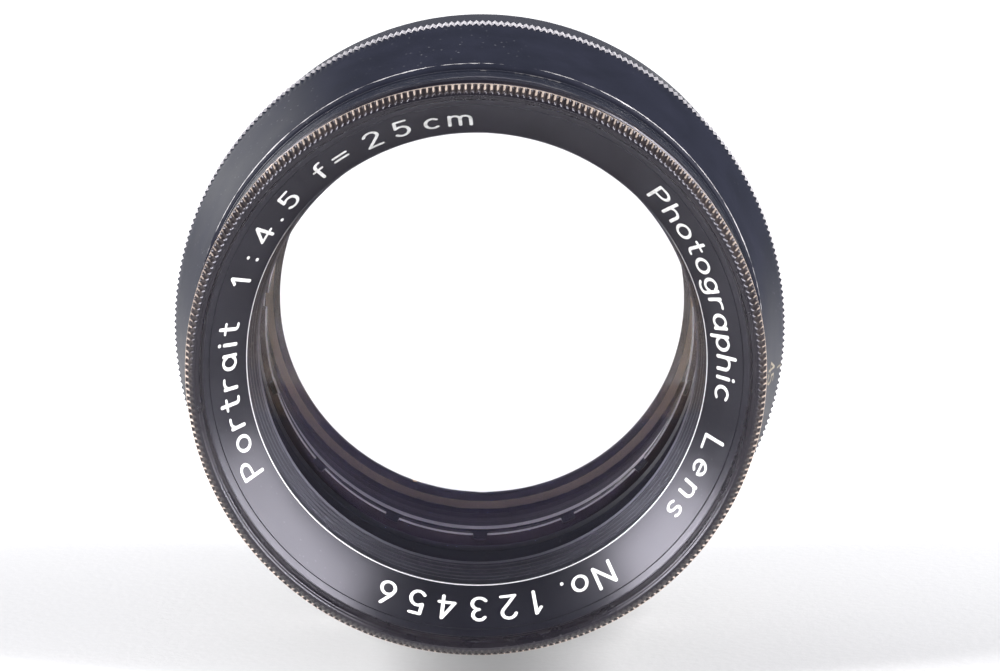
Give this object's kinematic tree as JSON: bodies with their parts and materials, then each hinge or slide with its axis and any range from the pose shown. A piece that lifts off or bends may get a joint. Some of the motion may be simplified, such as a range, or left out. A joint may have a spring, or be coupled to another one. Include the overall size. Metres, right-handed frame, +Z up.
{
  "type": "barrel portrait lens",
  "caption": "Black-lacquered barrel lens: knurled front cell, engraved name ring, turning stop ring that closes a multi-blade iris, rear cell and rear mounting thread.",
  "frame": {"origin": "on the resting surface, under the middle of the barrel's length", "axes": "optical axis along Y with the front glass facing -Y; +Z up, the lens lying on its side; +X to the right seen from the front"},
  "size_m": [0.0806, 0.065, 0.0806],
  "materials": {
    "black_lacquer": "semi-gloss black lacquer on brass, worn on edges and knurls",
    "engraved_lacquer": "semi-gloss black lacquer, engraving filled with white",
    "scale_lacquer": "semi-gloss black lacquer, knurl tips worn to bright metal",
    "matte_black": "matte black anti-reflection finish",
    "rear_lacquer": "satin black lacquer",
    "inner_brass": "aged turned brass",
    "iris_brass": "chemically browned brass, edges bright",
    "blade_steel": "thin blued steel",
    "steel_screw": "darkened steel",
    "coated_glass": "polished optical glass with a faint violet bloom",
    "clear_glass": "polished optical glass"
  },
  "bodies": {
    "barrel": {"front_cell": "black_lacquer", "name_ring": "engraved_lacquer", "front_element": "coated_glass", "front_spacer": "matte_black", "second_element": "coated_glass", "front_cell_retainer": "matte_black", "main_barrel": "black_lacquer", "aperture_ring_retainer": "inner_brass", "iris_snap_ring": "steel_screw", "iris_seat_plate": "iris_brass", "rear_barrel": "black_lacquer", "barrel_set_screw": "steel_screw", "rear_cell": "rear_lacquer", "rear_negative_element": "clear_glass", "rear_positive_element": "clear_glass", "rear_retainer": "rear_lacquer"},
    "aperture": {"aperture_ring": "scale_lacquer", "aperture_drive_screw": "steel_screw", "iris_drive_ring": "iris_brass"},
    "blade_01": {"iris_blade_01": "blade_steel"},
    "blade_02": {"iris_blade_02": "blade_steel"},
    "blade_03": {"iris_blade_03": "blade_steel"},
    "blade_04": {"iris_blade_04": "blade_steel"},
    "blade_05": {"iris_blade_05": "blade_steel"},
    "blade_06": {"iris_blade_06": "blade_steel"},
    "blade_07": {"iris_blade_07": "blade_steel"},
    "blade_08": {"iris_blade_08": "blade_steel"},
    "blade_09": {"iris_blade_09": "blade_steel"},
    "blade_10": {"iris_blade_10": "blade_steel"},
    "blade_11": {"iris_blade_11": "blade_steel"},
    "blade_12": {"iris_blade_12": "blade_steel"},
    "blade_13": {"iris_blade_13": "blade_steel"},
    "blade_14": {"iris_blade_14": "blade_steel"},
    "blade_15": {"iris_blade_15": "blade_steel"}
  },
  "joints": [
    {"name": "aperture_turn", "type": "hinge", "parent": "barrel", "child": "aperture", "pos_m": [0, 0.0028, 0.0403], "axis": [0, -1, 0], "range_deg": [0, 86]},
    {"name": "blade_01_swing", "type": "hinge", "parent": "barrel", "child": "blade_01", "pos_m": [-0.02042, 0.0098, 0.06173], "axis": [0, -1, 0], "range_deg": [0, 43]},
    {"name": "blade_02_swing", "type": "hinge", "parent": "barrel", "child": "blade_02", "pos_m": [-0.02737, 0.0098, 0.05156], "axis": [0, -1, 0], "range_deg": [0, 43]},
    {"name": "blade_03_swing", "type": "hinge", "parent": "barrel", "child": "blade_03", "pos_m": [-0.02959, 0.0098, 0.03946], "axis": [0, -1, 0], "range_deg": [0, 43]},
    {"name": "blade_04_swing", "type": "hinge", "parent": "barrel", "child": "blade_04", "pos_m": [-0.02669, 0.0098, 0.0275], "axis": [0, -1, 0], "range_deg": [0, 43]},
    {"name": "blade_05_swing", "type": "hinge", "parent": "barrel", "child": "blade_05", "pos_m": [-0.01917, 0.0098, 0.01775], "axis": [0, -1, 0], "range_deg": [0, 43]},
    {"name": "blade_06_swing", "type": "hinge", "parent": "barrel", "child": "blade_06", "pos_m": [-0.00834, 0.0098, 0.0119], "axis": [0, -1, 0], "range_deg": [0, 43]},
    {"name": "blade_07_swing", "type": "hinge", "parent": "barrel", "child": "blade_07", "pos_m": [0.00393, 0.0098, 0.01096], "axis": [0, -1, 0], "range_deg": [0, 43]},
    {"name": "blade_08_swing", "type": "hinge", "parent": "barrel", "child": "blade_08", "pos_m": [0.01552, 0.0098, 0.0151], "axis": [0, -1, 0], "range_deg": [0, 43]},
    {"name": "blade_09_swing", "type": "hinge", "parent": "barrel", "child": "blade_09", "pos_m": [0.02443, 0.0098, 0.02359], "axis": [0, -1, 0], "range_deg": [0, 43]},
    {"name": "blade_10_swing", "type": "hinge", "parent": "barrel", "child": "blade_10", "pos_m": [0.02912, 0.0098, 0.03497], "axis": [0, -1, 0], "range_deg": [0, 43]},
    {"name": "blade_11_swing", "type": "hinge", "parent": "barrel", "child": "blade_11", "pos_m": [0.02877, 0.0098, 0.04727], "axis": [0, -1, 0], "range_deg": [0, 43]},
    {"name": "blade_12_swing", "type": "hinge", "parent": "barrel", "child": "blade_12", "pos_m": [0.02344, 0.0098, 0.05837], "axis": [0, -1, 0], "range_deg": [0, 43]},
    {"name": "blade_13_swing", "type": "hinge", "parent": "barrel", "child": "blade_13", "pos_m": [0.01406, 0.0098, 0.06635], "axis": [0, -1, 0], "range_deg": [0, 43]},
    {"name": "blade_14_swing", "type": "hinge", "parent": "barrel", "child": "blade_14", "pos_m": [0.00226, 0.0098, 0.06981], "axis": [0, -1, 0], "range_deg": [0, 43]},
    {"name": "blade_15_swing", "type": "hinge", "parent": "barrel", "child": "blade_15", "pos_m": [-0.00994, 0.0098, 0.06818], "axis": [0, -1, 0], "range_deg": [0, 43]}
  ],
  "couplings": [
    {"joint": "blade_01_swing", "follows": "aperture_turn", "ratio": 0.5},
    {"joint": "blade_02_swing", "follows": "aperture_turn", "ratio": 0.5},
    {"joint": "blade_03_swing", "follows": "aperture_turn", "ratio": 0.5},
    {"joint": "blade_04_swing", "follows": "aperture_turn", "ratio": 0.5},
    {"joint": "blade_05_swing", "follows": "aperture_turn", "ratio": 0.5},
    {"joint": "blade_06_swing", "follows": "aperture_turn", "ratio": 0.5},
    {"joint": "blade_07_swing", "follows": "aperture_turn", "ratio": 0.5},
    {"joint": "blade_08_swing", "follows": "aperture_turn", "ratio": 0.5},
    {"joint": "blade_09_swing", "follows": "aperture_turn", "ratio": 0.5},
    {"joint": "blade_10_swing", "follows": "aperture_turn", "ratio": 0.5},
    {"joint": "blade_11_swing", "follows": "aperture_turn", "ratio": 0.5},
    {"joint": "blade_12_swing", "follows": "aperture_turn", "ratio": 0.5},
    {"joint": "blade_13_swing", "follows": "aperture_turn", "ratio": 0.5},
    {"joint": "blade_14_swing", "follows": "aperture_turn", "ratio": 0.5},
    {"joint": "blade_15_swing", "follows": "aperture_turn", "ratio": 0.5}
  ]
}
